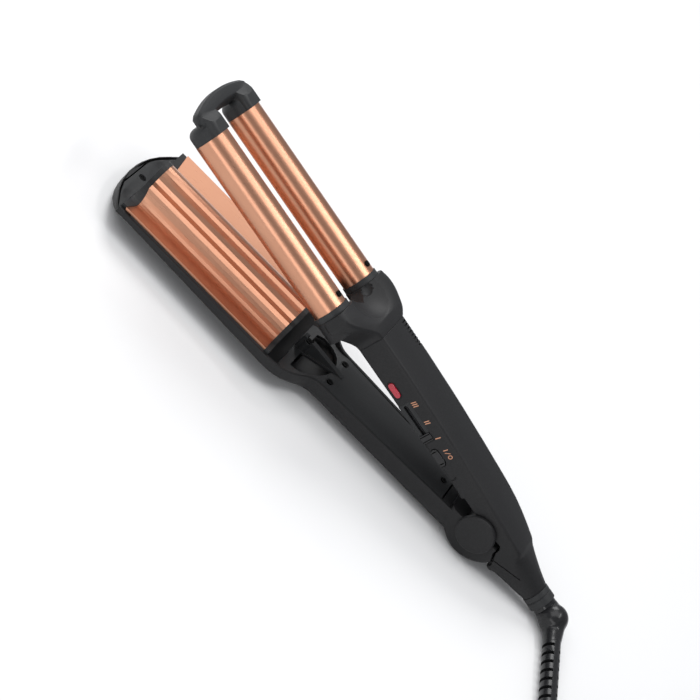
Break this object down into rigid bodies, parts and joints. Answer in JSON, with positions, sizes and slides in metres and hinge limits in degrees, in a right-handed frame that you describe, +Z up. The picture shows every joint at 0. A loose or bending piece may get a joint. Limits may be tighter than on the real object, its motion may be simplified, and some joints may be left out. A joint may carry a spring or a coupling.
{
  "type": "hair waver",
  "caption": "Corded hair waver: barrels on a sprung upper arm close round the ridge of a wave plate on a lever arm, with side controls and a swivel lead.",
  "frame": {"origin": "bottom centre of the bounding box without the mains lead, on the table the lower arm lies on", "axes": "+X from the barrel tips to the tail, +Y from the control side to the far side, +Z up"},
  "size_m": [0.4804, 0.1758, 0.0882],
  "materials": {
    "black_plastic": "satin",
    "dark_trim": "satin",
    "knob_black": "gloss",
    "copper_coat": "satin",
    "heat_spreader": "matte",
    "dark_screw": "satin",
    "board_green": "satin",
    "red_lens": "gloss",
    "switch_grey": "matte",
    "steel": "satin",
    "boot_rubber": "semi-gloss",
    "cord_black": "satin",
    "strap": "matte",
    "plug_black": "satin"
  },
  "bodies": {
    "upper_arm": {"handle_shell": "black_plastic", "handle_inner_cover": "dark_trim", "barrel_yoke": "black_plastic", "barrel_collars": "dark_trim", "barrel_near": "copper_coat", "barrel_far": "copper_coat", "barrel_heaters": "heat_spreader", "barrel_screws": "dark_screw", "barrel_end_caps": "black_plastic", "tip_bridge": "black_plastic", "circuit_board": "board_green", "lamp_lens": "red_lens", "slider_bed": "dark_trim", "heat_switch": "switch_grey", "power_switch": "switch_grey", "hinge_pin": "steel", "hinge_cap_near": "black_plastic", "hinge_cap_far": "black_plastic", "hinge_spring": "steel", "tail_collar": "dark_trim", "cord_lead": "cord_black", "cord_coil": "cord_black", "cord_end": "cord_black", "cord_tie": "strap", "plug_body": "plug_black", "plug_pins": "steel"},
    "lower_arm": {"lower_housing": "black_plastic", "tip_cover": "dark_trim", "tip_screw": "dark_screw", "wave_plate": "copper_coat", "plate_front_frame": "dark_trim", "plate_rear_frame": "dark_trim", "plate_heater": "heat_spreader", "heater_clamp": "steel", "lever_inner_cover": "dark_trim", "cover_screws": "dark_screw"},
    "heat_knob": {"heat_slider": "knob_black"},
    "power_key": {"power_button": "knob_black"},
    "cord_rotor": {"cord_swivel": "knob_black", "elbow_boot": "boot_rubber"}
  },
  "joints": [
    {"name": "jaw_hinge", "type": "hinge", "parent": "upper_arm", "child": "lower_arm", "pos_m": [0.10795, 0, 0.0205], "axis": [0, 1, 0], "range_deg": [0, 11.8], "stiffness_Nm_per_rad": 1, "springref_deg": -51.57, "deforming": ["hinge_spring"]},
    {"name": "heat_slide", "type": "slide", "parent": "upper_arm", "child": "heat_knob", "axis": [-0.9829, 0, 0.184], "range_m": [0, 0.0196]},
    {"name": "power_press", "type": "slide", "parent": "upper_arm", "child": "power_key", "axis": [0, 1, 0], "range_m": [0, 0.0008], "stiffness_N_per_m": 800, "springref_m": -0.0006},
    {"name": "cord_turn", "type": "hinge", "parent": "upper_arm", "child": "cord_rotor", "pos_m": [0.16487, 0, 0.00934], "axis": [0.9829, 0, -0.184], "continuous": true}
  ]
}
